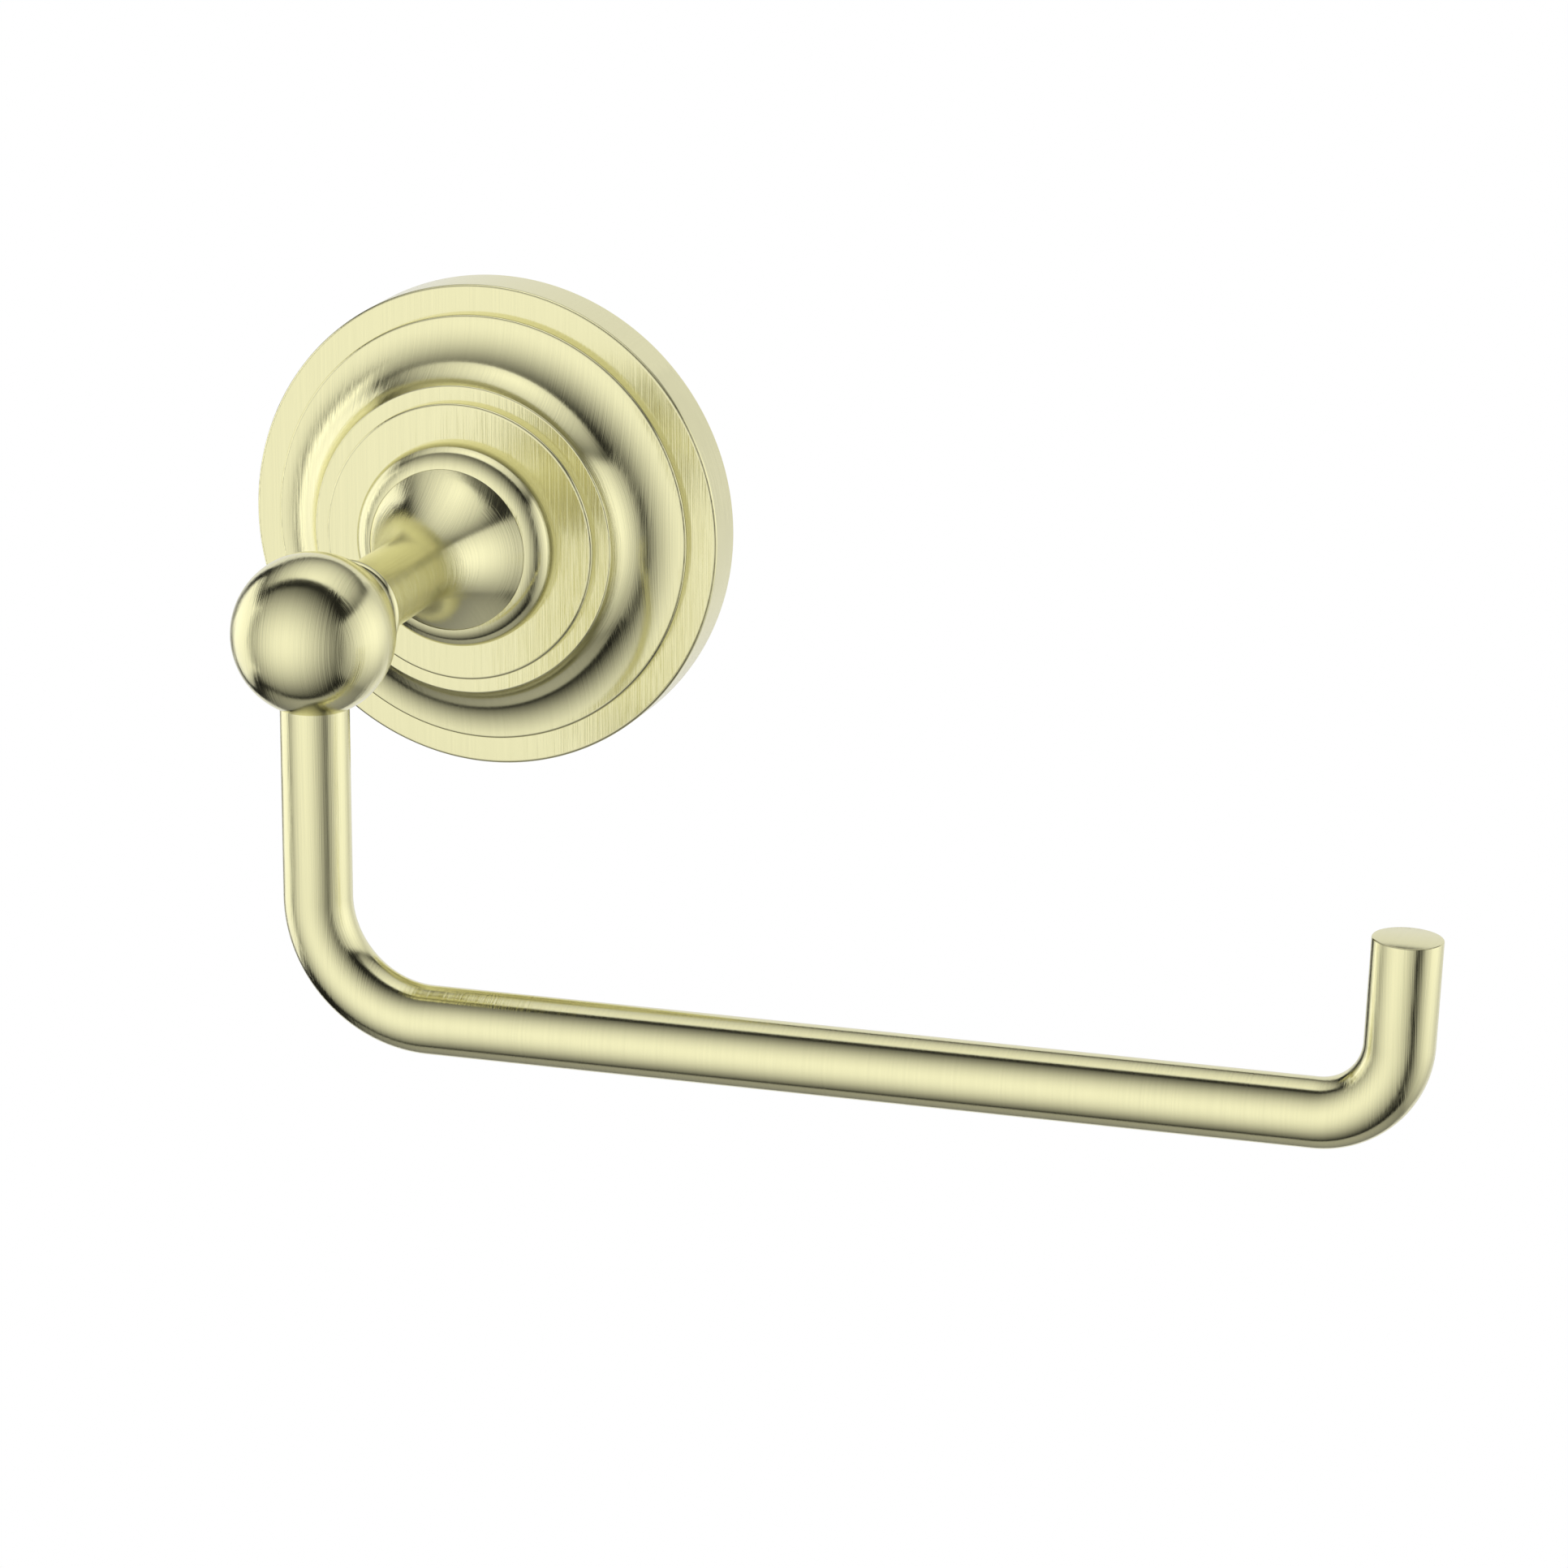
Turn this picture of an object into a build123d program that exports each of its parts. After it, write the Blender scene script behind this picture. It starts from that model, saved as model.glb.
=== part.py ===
from build123d import *
import math
import os

# Toilet paper holder with one wall post: a stepped round flange, a turned post, a ball and a J-shaped arm.
# Millimetres, +Z up. The wall is the plane Y = 0 and the holder stands out from it towards -Y.
# Turned pieces are drawn as (radius, out), where out is the distance from the wall, and spun about Y.

# Clearances
FIT = 0.05              # radial gap of a screwed or pushed-in piece
BRACKET_FIT = 0.4       # radial gap between the bracket and the flange that slips over it

# Flange, from the rim inwards
FLANGE_R = 37.2
RIM_OUT = 7.8
RIM_WIDTH = 4.3
STEP_RISE = 1.6
COVE_WIDTH = 9.2
COVE_RISE = 7.9
BOSS_WIDTH = 2.4
FACE_RISE = 1.5
EDGE_ROUND = 0.5
BOSS_ROUND = 0.3
RIM_WALL = 4.2
FACE_WALL = 3.0
SHELL_WALL = 2.6

# Base ring: a low wall on the flange's face, then a round that ends at the post's foot
BASE_RING_OVER = 3.4    # how far the ring reaches past the foot
BASE_WALL = 0.8
BASE_BEAD = 4.1

# Neck ring: a half-round bead
NECK_BEAD = 1.2
NECK_BEAD_OVER = 1.0    # how far the bead's centre lies outside the post
NECK_R = 5.0

# Post
POST_R = 5.65
FOOT_R = 12.3
FOOT_SEAT = 0.75
FLARE_R = 25.5
SHOULDER_R = 8.0
SPIGOT_R = 4.0
SPIGOT_FLAT = 3.2
SPIGOT_SHORT = 0.3      # keeps the spigot behind the flange's inner face, so that the screw clamps

# Ball and arm
BALL_OUT = 76.0
BALL_R = 11.85
RING_TO_BALL = 13.35
ROD_R = 5.0
ROD_DEPTH = 4.5         # how far the rod reaches past the ball's centre
ARM_DROP = 55.9
ARM_REACH = 159.2
WIDE_BEND = 17.1
TIGHT_BEND = 11.7
TIP_RISE = 26.4
TIP_LEAN = 2.9          # degrees that the tip leans outwards

# Wall bracket
BRACKET_T = 4.8
BRACKET_OPENING_R = 10.0
SCREW_SPACING = 42.0
SCREW_HOLE_R = 2.3
SCREW_HEAD_R = 4.2
GRUB_FLAT = 0.8

# Screws, washers and stud
GRUB_R = 2.0
GRUB_SUNK = 0.3
GRUB_KEY = 2.0
M5_R = 2.5
M5_HEAD_R = 4.25
M5_HEAD_H = 5.0
M5_KEY = 4.0
M5_LENGTH = 16.0
WASHER_R = 7.5
WASHER_T = 1.0
LOCK_WASHER_R = 4.3
LOCK_WASHER_T = 1.2
LOCK_WASHER_SLIT = 1.0
STUD_R = 3.0
STUD_IN_POST = 9.0
STUD_IN_ROD = 2.0       # past the rod's centre
HOLE_SPARE = 1.0        # free depth past the end of a screw or stud
THREAD_CHAMFER = 0.4

# Positions that follow from the sizes above
STEP_R = FLANGE_R - RIM_WIDTH
STEP_OUT = RIM_OUT + STEP_RISE
BOSS_R = STEP_R - COVE_WIDTH
BOSS_OUT = STEP_OUT + COVE_RISE
FACE_R = BOSS_R - BOSS_WIDTH
FACE_OUT = BOSS_OUT + FACE_RISE
INNER_OUT = FACE_OUT - FACE_WALL
CAVITY_R = FLANGE_R - RIM_WALL
CAVITY_OUT = RIM_OUT - SHELL_WALL
BRACKET_R = CAVITY_R - BRACKET_FIT
GRUB_OUT = BRACKET_T / 2
BASE_RING_R = FOOT_R + BASE_RING_OVER
BASE_BEAD_R = BASE_RING_R - BASE_BEAD
BEAD_OUT = FACE_OUT + BASE_WALL
NECK_RING_R = POST_R + NECK_BEAD_OVER
RING_BORE_R = FOOT_R + FIT
FOOT_OUT = BEAD_OUT + math.sqrt(BASE_BEAD**2 - (RING_BORE_R - BASE_BEAD_R) ** 2)
SEAT_OUT = FOOT_OUT - FOOT_SEAT
FLARE_OUT = FOOT_OUT + math.sqrt(FLARE_R**2 - (FLARE_R - FOOT_R + POST_R) ** 2)
SPIGOT_OUT = INNER_OUT + SPIGOT_SHORT
NECK_OUT = BALL_OUT - RING_TO_BALL
POST_OUT = NECK_OUT - NECK_BEAD
BALL_SEAT_OUT = BALL_OUT - math.sqrt(BALL_R**2 - NECK_R**2)
HEAD_OUT = INNER_OUT - WASHER_T - LOCK_WASHER_T


def at(radius, out):
    """Point of a turned profile."""
    return (radius, -out)


def line(*points):
    """Straight run of a turned profile through (radius, out) points."""
    return Polyline(*[at(*point) for point in points])


def arc(centre, size, first, last):
    """Arc of a turned profile; angles in degrees from the radial direction towards out."""
    def on(angle):
        turn = math.radians(angle)
        return at(centre[0] + size * math.cos(turn), centre[1] + size * math.sin(turn))
    return ThreePointArc(on(first), on((first + last) / 2), on(last))


def turned(*edges, rounded=()):
    """Solid spun about Y from a closed profile. Corners to round are listed as (radius, out, size)."""
    face = make_face([edge for run in edges for edge in run.edges()])
    for radius, out, size in rounded:
        corner = face.vertices().sort_by_distance(at(radius, out) + (0,))[0]
        face = fillet(corner, size)
    return revolve(face, axis=Axis.Y)


def rod_along_y(radius, out_from, out_to):
    """Cylinder on the Y axis between two distances from the wall."""
    return turned(line((0, out_from), (radius, out_from), (radius, out_to), (0, out_to), (0, out_from)))


def threaded(radius, out_from, out_to):
    """Threaded rod on the Y axis, drawn plain at its outside diameter with chamfered ends."""
    inner = radius - THREAD_CHAMFER
    return turned(line(
        (0, out_from), (inner, out_from), (radius, out_from + THREAD_CHAMFER),
        (radius, out_to - THREAD_CHAMFER), (inner, out_to), (0, out_to), (0, out_from),
    ))


def hex_socket(across, out_from, depth):
    """Hexagonal key hole that opens towards the wall."""
    plane = Plane((0, -out_from, 0), x_dir=(1, 0, 0), z_dir=(0, -1, 0))
    return extrude(plane * RegularPolygon(across / 2, 6, major_radius=False), depth)


def keyed_spigot(radius, flat, out_from, out_to):
    """Short round spigot with one flat on top, which stops the post from turning."""
    length = out_to - out_from
    slab = Pos(0, -(out_from + out_to) / 2, flat - radius) * Box(4 * radius, length, 2 * radius)
    return rod_along_y(radius, out_from, out_to) & slab


def make_flange():
    cove_size = (COVE_WIDTH**2 + COVE_RISE**2) / (2 * COVE_RISE)
    cove_end = 180 + math.degrees(math.asin((cove_size - COVE_RISE) / cove_size))
    corners = [
        (FLANGE_R, RIM_OUT, EDGE_ROUND),
        (STEP_R, STEP_OUT, EDGE_ROUND),
        (BOSS_R, BOSS_OUT, BOSS_ROUND),
        (FACE_R, FACE_OUT, EDGE_ROUND),
    ]
    shell = turned(
        line((CAVITY_R, 0), (FLANGE_R, 0), (FLANGE_R, RIM_OUT), (STEP_R, RIM_OUT), (STEP_R, STEP_OUT)),
        arc((STEP_R, STEP_OUT + cove_size), cove_size, 270, cove_end),
        line((BOSS_R, BOSS_OUT), (FACE_R, BOSS_OUT), (FACE_R, FACE_OUT), (0, FACE_OUT), (0, INNER_OUT),
             (FACE_R - SHELL_WALL, INNER_OUT), (FACE_R, STEP_OUT + SHELL_WALL),
             (BOSS_R + SHELL_WALL, CAVITY_OUT), (CAVITY_R, CAVITY_OUT), (CAVITY_R, 0)),
        rounded=corners,
    )
    post_hole = keyed_spigot(SPIGOT_R + FIT, SPIGOT_FLAT + FIT, INNER_OUT, FACE_OUT)
    grub_hole = Pos(0, -GRUB_OUT, -FLANGE_R) * Cylinder(GRUB_R + FIT, 4 * RIM_WALL)
    return shell - post_hole - grub_hole


def make_wall_bracket():
    plate = turned(line(
        (BRACKET_OPENING_R, 0), (BRACKET_R, 0), (BRACKET_R, BRACKET_T),
        (BRACKET_OPENING_R, BRACKET_T), (BRACKET_OPENING_R, 0),
    ))
    sink = SCREW_HEAD_R - SCREW_HOLE_R
    hole = rod_along_y(SCREW_HOLE_R, 0, BRACKET_T)
    countersink = turned(line(
        (0, BRACKET_T - sink), (SCREW_HOLE_R, BRACKET_T - sink), (SCREW_HEAD_R, BRACKET_T),
        (0, BRACKET_T), (0, BRACKET_T - sink),
    ))
    for side in (-1, 1):
        plate -= Pos(side * SCREW_SPACING / 2, 0, 0) * (hole + countersink)
    below = 2 * GRUB_FLAT
    grub_flat = Pos(0, -BRACKET_T / 2, -BRACKET_R - below / 2 + GRUB_FLAT) * Box(BRACKET_R, BRACKET_T, below)
    return plate - grub_flat


def make_grub_screw():
    low = FLANGE_R - GRUB_SUNK
    length = low - (BRACKET_R - GRUB_FLAT)
    screw = chamfer(Cylinder(GRUB_R, length).edges().filter_by(GeomType.CIRCLE), THREAD_CHAMFER)
    key = extrude(RegularPolygon(GRUB_KEY / 2, 6, major_radius=False), length / 2)
    return Pos(0, -GRUB_OUT, length / 2 - low) * (screw - Pos(0, 0, -length / 2) * key)


def make_post_screw():
    head = turned(line((0, HEAD_OUT - M5_HEAD_H), (M5_HEAD_R, HEAD_OUT - M5_HEAD_H), (M5_HEAD_R, HEAD_OUT),
                       (0, HEAD_OUT), (0, HEAD_OUT - M5_HEAD_H)),
                  rounded=[(M5_HEAD_R, HEAD_OUT - M5_HEAD_H, EDGE_ROUND)])
    shank = threaded(M5_R, HEAD_OUT - M5_HEAD_H / 2, HEAD_OUT + M5_LENGTH)
    return head + shank - hex_socket(M5_KEY, HEAD_OUT - M5_HEAD_H, M5_HEAD_H / 2)


def make_washer(radius, thickness, out):
    """Flat ring around the post screw, its far face at the given distance from the wall."""
    hole = M5_R + 2 * FIT
    return turned(line((hole, out - thickness), (radius, out - thickness), (radius, out), (hole, out),
                       (hole, out - thickness)))


def make_lock_washer():
    ring = make_washer(LOCK_WASHER_R, LOCK_WASHER_T, INNER_OUT - WASHER_T)
    slit = Pos(LOCK_WASHER_R, -INNER_OUT, 0) * Box(2 * LOCK_WASHER_R, 4 * INNER_OUT, LOCK_WASHER_SLIT)
    return ring - slit


def make_base_ring():
    top_angle = math.degrees(math.acos((RING_BORE_R - BASE_BEAD_R) / BASE_BEAD))
    bore = SHOULDER_R + FIT
    return turned(
        arc((BASE_BEAD_R, BEAD_OUT), BASE_BEAD, 0, top_angle),
        line((RING_BORE_R, FOOT_OUT), (RING_BORE_R, SEAT_OUT), (bore, SEAT_OUT), (bore, FACE_OUT),
             (BASE_RING_R, FACE_OUT), (BASE_RING_R, BEAD_OUT)),
    )


def make_post():
    foot_angle = -math.degrees(math.asin((FLARE_OUT - FOOT_OUT) / FLARE_R))
    body = turned(
        line((0, FACE_OUT + FIT), (SHOULDER_R, FACE_OUT + FIT), (SHOULDER_R, SEAT_OUT), (FOOT_R, SEAT_OUT),
             (FOOT_R, FOOT_OUT)),
        arc((POST_R + FLARE_R, FLARE_OUT), FLARE_R, 180 - foot_angle, 180),
        line((POST_R, FLARE_OUT), (POST_R, POST_OUT), (0, POST_OUT), (0, FACE_OUT + FIT)),
    )
    spigot = keyed_spigot(SPIGOT_R, SPIGOT_FLAT, SPIGOT_OUT, FACE_OUT + FIT)
    screw_hole = rod_along_y(M5_R + FIT, SPIGOT_OUT, HEAD_OUT + M5_LENGTH + HOLE_SPARE)
    stud_hole = rod_along_y(STUD_R + FIT, POST_OUT - STUD_IN_POST - HOLE_SPARE, POST_OUT)
    return body + spigot - screw_hole - stud_hole


def make_neck_ring():
    bore = STUD_R + FIT
    return turned(
        arc((NECK_RING_R, NECK_OUT), NECK_BEAD, -90, 90),
        line((NECK_RING_R, NECK_OUT + NECK_BEAD), (NECK_R, NECK_OUT + NECK_BEAD), (NECK_R, BALL_SEAT_OUT),
             (bore, BALL_SEAT_OUT), (bore, POST_OUT), (NECK_RING_R, POST_OUT)),
    )


def make_ball():
    ball = Pos(0, -BALL_OUT, 0) * Sphere(BALL_R)
    seat = rod_along_y(BALL_R, BALL_OUT - 2 * BALL_R, BALL_SEAT_OUT)
    stud_hole = rod_along_y(STUD_R + FIT, BALL_SEAT_OUT, BALL_OUT)
    rod_top = ROD_DEPTH + FIT
    rod_hole = Pos(0, -BALL_OUT, rod_top - BALL_R) * Cylinder(ROD_R + FIT, 2 * BALL_R)
    return ball - seat - stud_hole - rod_hole


def make_arm():
    turn_up = 90 - TIP_LEAN
    bend_start = ARM_REACH - TIGHT_BEND * math.tan(math.radians(turn_up / 2))
    wide_bend = JernArc((0, WIDE_BEND - ARM_DROP), (0, -1), WIDE_BEND, 90)
    tight_bend = JernArc((bend_start, -ARM_DROP), (1, 0), TIGHT_BEND, turn_up)
    tip_start = tight_bend @ 1
    tip_rise = TIP_RISE - ARM_DROP - tip_start.Y
    tip_end = tip_start + Vector(tip_rise * math.tan(math.radians(TIP_LEAN)), tip_rise)
    centreline = Line((0, ROD_DEPTH), wide_bend @ 0) + wide_bend + Line(wide_bend @ 1, tight_bend @ 0)
    centreline = centreline + tight_bend + Line(tip_start, tip_end)
    path = Plane((0, -BALL_OUT, 0), x_dir=(1, 0, 0), z_dir=(0, -1, 0)) * centreline
    section = Plane((0, -BALL_OUT, ROD_DEPTH), x_dir=(1, 0, 0), z_dir=(0, 0, -1)) * Circle(ROD_R)
    stud_hole = rod_along_y(STUD_R + FIT, BALL_OUT - 2 * ROD_R, BALL_OUT + STUD_IN_ROD + HOLE_SPARE)
    return sweep(section, path=path) - stud_hole


def make_ball_stud():
    return threaded(STUD_R, POST_OUT - STUD_IN_POST, BALL_OUT + STUD_IN_ROD)


PIECES = {
    "flange": make_flange(),
    "base_ring": make_base_ring(),
    "post": make_post(),
    "neck_ring": make_neck_ring(),
    "ball": make_ball(),
    "arm": make_arm(),
    "wall_bracket": make_wall_bracket(),
    "flange_grub_screw": make_grub_screw(),
    "post_screw": make_post_screw(),
    "post_washer": make_washer(WASHER_R, WASHER_T, INNER_OUT),
    "post_lock_washer": make_lock_washer(),
    "ball_stud": make_ball_stud(),
}

os.makedirs("parts", exist_ok=True)
for name, piece in PIECES.items():
    export_step(piece, f"parts/{name}.step")
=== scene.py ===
import math

import bmesh
import bpy
from mathutils import Matrix, Vector


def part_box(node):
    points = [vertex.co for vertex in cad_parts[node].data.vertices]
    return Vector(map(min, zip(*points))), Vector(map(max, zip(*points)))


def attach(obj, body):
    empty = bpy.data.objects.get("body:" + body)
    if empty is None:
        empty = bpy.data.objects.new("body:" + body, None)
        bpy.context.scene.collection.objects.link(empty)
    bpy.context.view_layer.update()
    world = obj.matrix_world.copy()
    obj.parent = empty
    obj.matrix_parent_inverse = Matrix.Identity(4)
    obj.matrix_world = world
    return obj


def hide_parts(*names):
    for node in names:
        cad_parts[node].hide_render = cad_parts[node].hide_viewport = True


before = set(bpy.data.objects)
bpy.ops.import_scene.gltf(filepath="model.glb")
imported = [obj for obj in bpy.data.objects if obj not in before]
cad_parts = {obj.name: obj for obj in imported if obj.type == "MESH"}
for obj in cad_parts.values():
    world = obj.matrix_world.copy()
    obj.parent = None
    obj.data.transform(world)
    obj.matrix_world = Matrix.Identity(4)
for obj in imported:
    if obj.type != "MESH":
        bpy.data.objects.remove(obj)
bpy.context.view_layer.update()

# Toilet paper holder in pale satin brass: a stepped flange, a turned post, a ball and a J-shaped arm.
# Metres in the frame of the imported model: the wall is the plane Y = 0 and the holder stands out towards -Y.
# Turned pieces are drawn as (radius, out), where out is the distance from the wall.
MM = 0.001

# Overall sizes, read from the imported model
FLANGE_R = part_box("flange")[1].x
FACE_OUT = -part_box("flange")[0].y
BALL_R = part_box("ball")[1].x
BALL_OUT = -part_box("ball")[0].y - BALL_R
POST_OUT = -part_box("post")[0].y
ARM_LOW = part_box("arm")[0].z

# Flange, from the rim inwards
FIT = 0.05 * MM
RIM_OUT = 7.8 * MM
RIM_WIDTH = 4.3 * MM
STEP_RISE = 1.6 * MM
COVE_WIDTH = 9.2 * MM
COVE_RISE = 7.9 * MM
BOSS_WIDTH = 2.4 * MM
EDGE_ROUND = 0.5 * MM
BOSS_ROUND = 0.3 * MM
RIM_WALL = 4.2 * MM
FACE_WALL = 3.0 * MM
SHELL_WALL = 2.6 * MM
STEP_R = FLANGE_R - RIM_WIDTH
STEP_OUT = RIM_OUT + STEP_RISE
BOSS_R = STEP_R - COVE_WIDTH
BOSS_OUT = STEP_OUT + COVE_RISE
FACE_R = BOSS_R - BOSS_WIDTH
INNER_OUT = FACE_OUT - FACE_WALL
CAVITY_R = FLANGE_R - RIM_WALL
CAVITY_OUT = RIM_OUT - SHELL_WALL
GRUB_OUT = 2.4 * MM
GRUB_R = 2.0 * MM

# Rings, post, ball and rod
FOOT_R = 12.3 * MM
FOOT_SEAT = 0.75 * MM
BASE_LIP = 3.4 * MM      # how far the base ring stands past the foot
BASE_RING_R = FOOT_R + BASE_LIP
BASE_WALL = 0.8 * MM
BASE_BEAD = 4.1 * MM
BASE_BEAD_R = BASE_RING_R - BASE_BEAD
BEAD_OUT = FACE_OUT + BASE_WALL
RING_BORE_R = FOOT_R + FIT
FOOT_OUT = BEAD_OUT + math.sqrt(BASE_BEAD**2 - (RING_BORE_R - BASE_BEAD_R) ** 2)
SEAT_OUT = FOOT_OUT - FOOT_SEAT
POST_R = 5.65 * MM
FLARE_R = 25.5 * MM
FLARE_OUT = FOOT_OUT + math.sqrt(FLARE_R**2 - (FLARE_R - FOOT_R + POST_R) ** 2)
SHOULDER_R = 8.0 * MM
SPIGOT_R = 4.0 * MM
SPIGOT_FLAT = 3.2 * MM   # height of the flat on top of the spigot
SPIGOT_SHORT = 0.3 * MM  # the spigot ends short of the flange's inner face, so that the screw clamps
SPIGOT_OUT = INNER_OUT + SPIGOT_SHORT
SCREW_R = 2.5 * MM
SCREW_HOLE_DEPTH = 14.5 * MM
STUD_R = 3.0 * MM
STUD_HOLE_DEPTH = 10.0 * MM     # in the post
STUD_HOLE_IN_ROD = 3.0 * MM     # past the rod's centre
NECK_R = 5.0 * MM
NECK_BEAD = 1.2 * MM
NECK_STEP = 1.0 * MM     # from the post's side to the centre of the neck ring's bead
NECK_BEAD_R = POST_R + NECK_STEP
NECK_OUT = POST_OUT + NECK_BEAD
BALL_SEAT_OUT = BALL_OUT - math.sqrt(BALL_R**2 - NECK_R**2)
ROD_R = 5.0 * MM
ROD_TOP = 4.5 * MM
WIDE_BEND = 17.1 * MM
TIGHT_BEND = 11.7 * MM
ARM_DROP = ARM_LOW + ROD_R
ARM_REACH = 159.2 * MM
TIP_RISE = 26.4 * MM
TIP_LEAN = math.radians(2.9)
END_ROUND = 0.2 * MM

# Fasteners and wall bracket
HEAD_OUT = -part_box("post_lock_washer")[1].y
HEAD_KEY = 4.0 * MM
HEAD_KEY_DEPTH = 2.5 * MM
HEAD_CHAMFER = 0.5 * MM
KNURL_DEPTH = 0.12 * MM
KNURL_RIBS = 40
KNURL_PITCH = 1.0        # metres for one turn, so that the ribs look straight
GRUB_KEY = 2.0 * MM
GRUB_KEY_DEPTH = 2.55 * MM
THREAD_CHAMFER = 0.45 * MM
SCREW_PITCH = 0.8 * MM
STUD_PITCH = 1.0 * MM
GRUB_PITCH = 0.7 * MM
THREAD_DEPTH = 0.61      # of the pitch
RIB_CREST = 0.2          # how flat the crest of a rib is
WASHER_HOLE_R = 2.6 * MM
WASHER_SOFT = 0.12 * MM
LOCK_SLIT = 1.0 * MM
BRACKET_HOLE_R = 10.0 * MM
BRACKET_SOFT = 0.4 * MM
WALL_SCREW_X = 21.0 * MM
WALL_SCREW_R = 2.3 * MM
COUNTERSINK_R = 4.2 * MM
BEYOND = 1.0 * MM        # how far a cutter passes the surface that it opens

# Mesh fineness
TURN_SIDES = 256
ROD_SIDES = 128
WASHER_SIDES = 128
HOLE_SIDES = 64
KEY_SIDES = 6
BEND_STEPS = 48
END_STEPS = 3
ARC_STEP = math.radians(3.0)
SOFT_STEP = math.radians(15.0)
THREAD_SIDES = 48
THREAD_RINGS = 10        # in one turn of a thread
RIB_SIDES = 6            # on one rib of the knurl
KNURL_RINGS = 10
SHARP_EDGE = math.radians(35)
SHARP_END = math.radians(60)
ON_AXIS = 1e-7           # metres; a smaller radius is a point on the axis
SAME_POINT = 1e-8
CLOSE = 0.002 * MM       # points nearer than this are joined after a cut

# Materials, with two colours each that a pattern blends
BRASS_COLOURS = ((0.80, 0.768, 0.464, 1.0), (0.86, 0.826, 0.504, 1.0))
BRASS_ROUGHNESS = 0.125
BROAD_BRUSH = (0.3 * MM, 40.0 * MM)      # width and length of a brush line
FINE_BRUSH = (0.08 * MM, 12.0 * MM)
BRUSH_DEPTH = 0.015 * MM
BRUSH_ROUGHNESS = 0.04
BRUSH_TURN = 0.12        # how gently the lines change over to the surfaces that face sideways
ZINC_COLOURS = ((0.47, 0.48, 0.49, 1.0), (0.60, 0.61, 0.62, 1.0))
ZINC_ROUGHNESS = 0.42
ZINC_CLOUDS = (90.0, 3.0)        # scale of a pattern per metre, and its detail
ZINC_GRAIN = (900.0, 4.0)
GRAIN_DEPTH = 0.03 * MM
GRAIN_STRENGTH = 0.6
GRAIN_ROUGHNESS = 0.12
STEEL_COLOURS = ((0.56, 0.56, 0.55, 1.0), (0.68, 0.68, 0.69, 1.0))
STEEL_ROUGHNESS = 0.26
STEEL_BLOOM = (400.0, 3.0)
BLOOM_ROUGHNESS = 0.1
PATTERN_ROUGHNESS = 0.5          # of the noise in every pattern

# Camera of the photograph
CAMERA_AT = Vector((362.62, -947.79, 246.68)) * MM
CAMERA_AIM = Vector((-0.3053, 0.9118, -0.2745))
CAMERA_LENS = 156.886
CAMERA_SENSOR = 36.0
CAMERA_NEAR = 10 * MM

# Studio
GLOOM = 0.012                    # light between the panels
TOP_LAMP_AT = Vector((0, 125, 260)) * MM
TOP_LAMP_SIZE = Vector((860, 374)) * MM
TOP_LAMP_TURN = math.radians(-2.0)
TOP_LAMP_SPREAD = math.radians(119)
TOP_LAMP_WATTS = 0.47
LEFT_LAMP_AT = Vector((-348, -22, -37)) * MM
LEFT_LAMP_SIZE = Vector((442, 306)) * MM
LEFT_LAMP_TURN = math.radians(-16.7)
LEFT_LAMP_SPREAD = math.radians(140)
LEFT_LAMP_WATTS = 0.305
FRONT_LIGHT_DEPTH = 3000 * MM    # in front of the ball
FRONT_LIGHT_SIDES = (-18000 * MM, 5200 * MM)
FRONT_LIGHT_HEIGHTS = (-18000 * MM, 18000 * MM)
FRONT_LIGHT_AZIMUTH = -17
FRONT_LIGHT_GLOW = (1.085, 1.45)         # brightness and tightness
SHADE_ENDS = (Vector((-392, -168)) * MM, Vector((-360, -225)) * MM)
SHADE_HEIGHTS = (-262 * MM, 188 * MM)
SHADE_GREY = 0.28
FLAG_ENDS = (Vector((300, -246)) * MM, Vector((991, -637)) * MM)
FLAG_HEIGHTS = (-520 * MM, 60 * MM)
FLAG_GREYS = (0.0, 0.15)         # at its near end and its far end
FLOOR_AT = Vector((60, -40, -300)) * MM
FLOOR_HALF = 250 * MM
FLOOR_COLOUR = (0.75, 0.75, 0.74, 1.0)
FLOOR_GLOW = 0.60                # light that only the camera sees, so that the floor looks pale

# Far panels of the studio; their edges are in units of their distance
LOW_PANEL_SIDES = (-0.80, 0.9)
LOW_PANEL_DEPTHS = (-0.05, 1.07)
LOW_PANEL_SOFT = 0.03
LOW_PANEL_GLOW = (0.41, 2.3)
RIGHT_PANEL_AZIMUTH = 112
RIGHT_PANEL_SIDES = (-1.235, 1.0)
RIGHT_PANEL_HEIGHTS = (-1.35, 0.62)
RIGHT_PANEL_SOFT = 0.09
RIGHT_GLOW_AZIMUTH = 114
RIGHT_PANEL_GLOW = (1.2, 2.4)
BACKDROP_SIDES = (-0.93, 0.45)
BACKDROP_HEIGHTS = (-1.0, 0.62)
BACKDROP_SOFT = 0.03
BACKDROP_GREY = 0.84
LEAST_DEPTH = 0.001              # keeps the panels' divisions away from zero


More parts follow.
